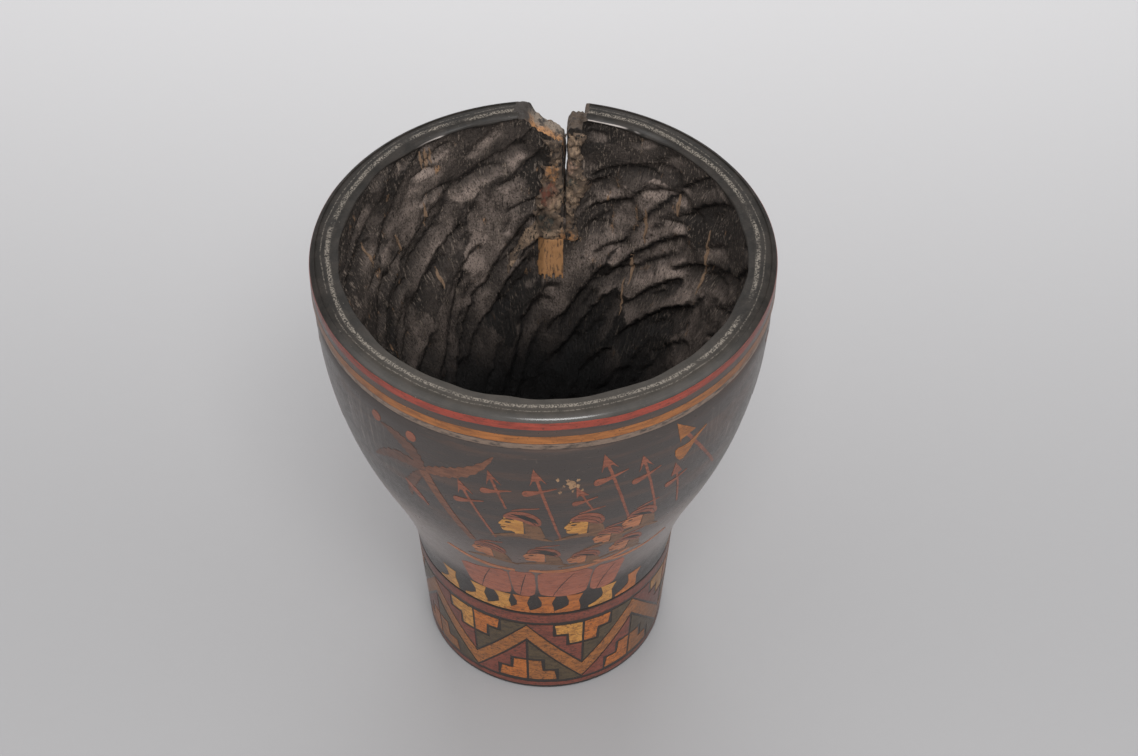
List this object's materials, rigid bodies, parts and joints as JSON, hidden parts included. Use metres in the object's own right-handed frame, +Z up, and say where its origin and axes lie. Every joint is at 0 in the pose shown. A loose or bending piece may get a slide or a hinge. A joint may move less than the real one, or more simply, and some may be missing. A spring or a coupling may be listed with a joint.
{
  "type": "kero drinking cup",
  "caption": "Waisted wooden kero beaker with a flared mouth, turned collar, resin-inlaid figures, zigzag foot band and an old split in the rim.",
  "frame": {"origin": "middle of the flat base, on the surface that the cup stands on", "axes": "+Z up along the cup's axis, -Y towards the front of the picture, +X to its right"},
  "size_m": [0.1692, 0.1692, 0.2],
  "materials": {
    "wood": "dark lacquered hardwood, worn satin",
    "filler": "matt crusty old repair filler",
    "red_resin": "worn coloured resin",
    "ochre_resin": "worn coloured resin",
    "brown_resin": "worn coloured resin",
    "rust_resin": "worn coloured resin",
    "leaf_resin": "worn coloured resin"
  },
  "bodies": {
    "root": {"base_red_ring": "red_resin", "cloak_1_1": "brown_resin", "cloak_1_2": "brown_resin", "cloak_1_3": "brown_resin", "cloak_1_4": "brown_resin", "cloak_2_1": "brown_resin", "cloak_2_2": "brown_resin", "cloak_2_3": "brown_resin", "cloak_2_4": "brown_resin", "cloak_3_1": "brown_resin", "cloak_3_2": "brown_resin", "cloak_3_3": "brown_resin", "cloak_3_4": "brown_resin", "crack_filler": "filler", "cup_body": "wood", "hanging_step_1": "ochre_resin", "hanging_step_2": "ochre_resin", "hanging_step_3": "ochre_resin", "hanging_step_4": "ochre_resin", "hanging_step_5": "ochre_resin", "hanging_step_6": "ochre_resin", "hanging_step_7": "ochre_resin", "head_1_1": "ochre_resin", "head_1_2": "ochre_resin", "head_1_3": "ochre_resin", "head_1_4": "ochre_resin", "head_2_1": "ochre_resin", "head_2_2": "ochre_resin", "head_2_3": "ochre_resin", "head_2_4": "ochre_resin", "head_3_1": "ochre_resin", "head_3_2": "ochre_resin", "head_3_3": "ochre_resin", "head_3_4": "ochre_resin", "palm_1": "leaf_resin", "palm_2": "leaf_resin", "palm_3": "leaf_resin", "rim_ochre_ring": "ochre_resin", "rim_red_ring": "red_resin", "rising_step_1": "ochre_resin", "rising_step_2": "ochre_resin", "rising_step_3": "ochre_resin", "rising_step_4": "ochre_resin", "rising_step_5": "ochre_resin", "rising_step_6": "ochre_resin", "rising_step_7": "ochre_resin", "spear_1_1": "rust_resin", "spear_1_2": "rust_resin", "spear_1_3": "rust_resin", "spear_2_1": "rust_resin", "spear_2_2": "rust_resin", "spear_2_3": "rust_resin", "spear_3_1": "rust_resin", "spear_3_2": "rust_resin", "spear_3_3": "rust_resin", "waist_red_ring": "red_resin", "zigzag_ribbon": "ochre_resin"}
  },
  "joints": []
}
